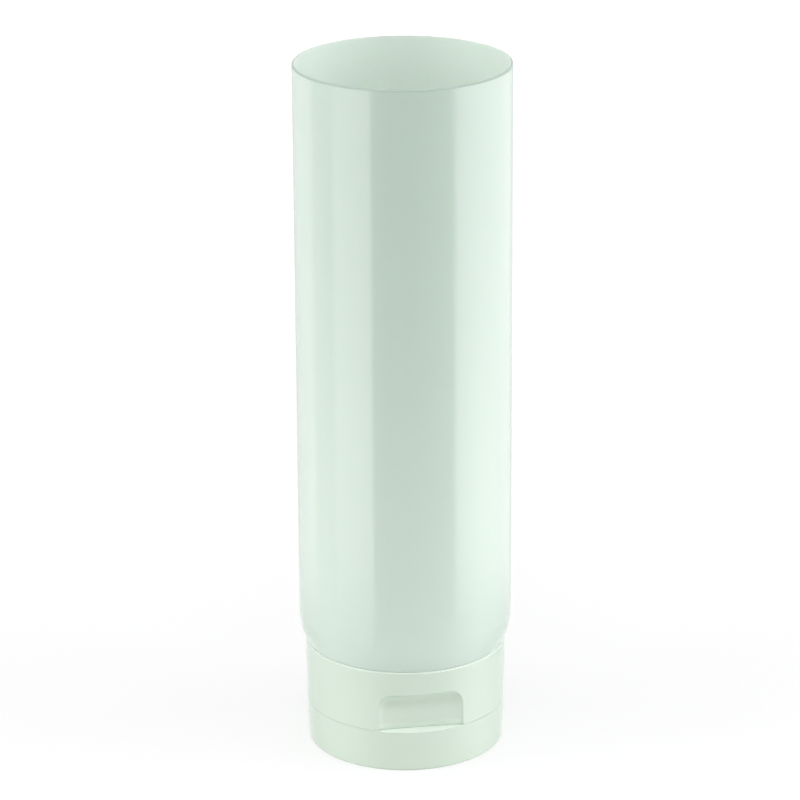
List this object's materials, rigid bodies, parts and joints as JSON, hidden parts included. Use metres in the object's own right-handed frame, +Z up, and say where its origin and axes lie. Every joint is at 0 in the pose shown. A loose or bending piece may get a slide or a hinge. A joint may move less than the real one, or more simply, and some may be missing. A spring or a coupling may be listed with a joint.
{
  "type": "squeeze tube with screw-on flip-top cap",
  "caption": "Open-ended plastic squeeze tube standing on its screw-on flip-top cap, with a thumb recess above the hinged lid and a sealing plug inside it.",
  "frame": {"origin": "centre of the lid's flat face, which the tube stands on", "axes": "+Z up along the tube towards its open end, -Y towards the thumb recess, so the lid's hinge is at +Y"},
  "size_m": [0.05, 0.05, 0.1646],
  "materials": {
    "sleeve_plastic": "glossy white polyethylene with a faint mint tint",
    "head_plastic": "natural white moulded polyethylene",
    "cap_plastic": "satin white moulded polypropylene with a faint mint tint"
  },
  "bodies": {
    "tube": {"tube_sleeve": "sleeve_plastic", "tube_head": "head_plastic"},
    "collar": {"cap_collar": "cap_plastic"},
    "cap": {"cap_base": "cap_plastic"},
    "lid": {"cap_lid": "cap_plastic"}
  },
  "joints": [
    {"name": "cap_lift", "type": "slide", "parent": "tube", "child": "collar", "axis": [0, 0, -1], "range_m": [0, 0.01]},
    {"name": "cap_turn", "type": "hinge", "parent": "collar", "child": "cap", "pos_m": [0, 0, 0.01], "axis": [0, 0, -1], "range_deg": [0, 900]},
    {"name": "lid_open", "type": "hinge", "parent": "cap", "child": "lid", "pos_m": [0, 0.024, 0.00993], "axis": [1, 0, 0], "range_deg": [0, 180]}
  ],
  "couplings": [
    {"joint": "cap_lift", "follows": "cap_turn", "m_per_rad": 0.00063662}
  ]
}
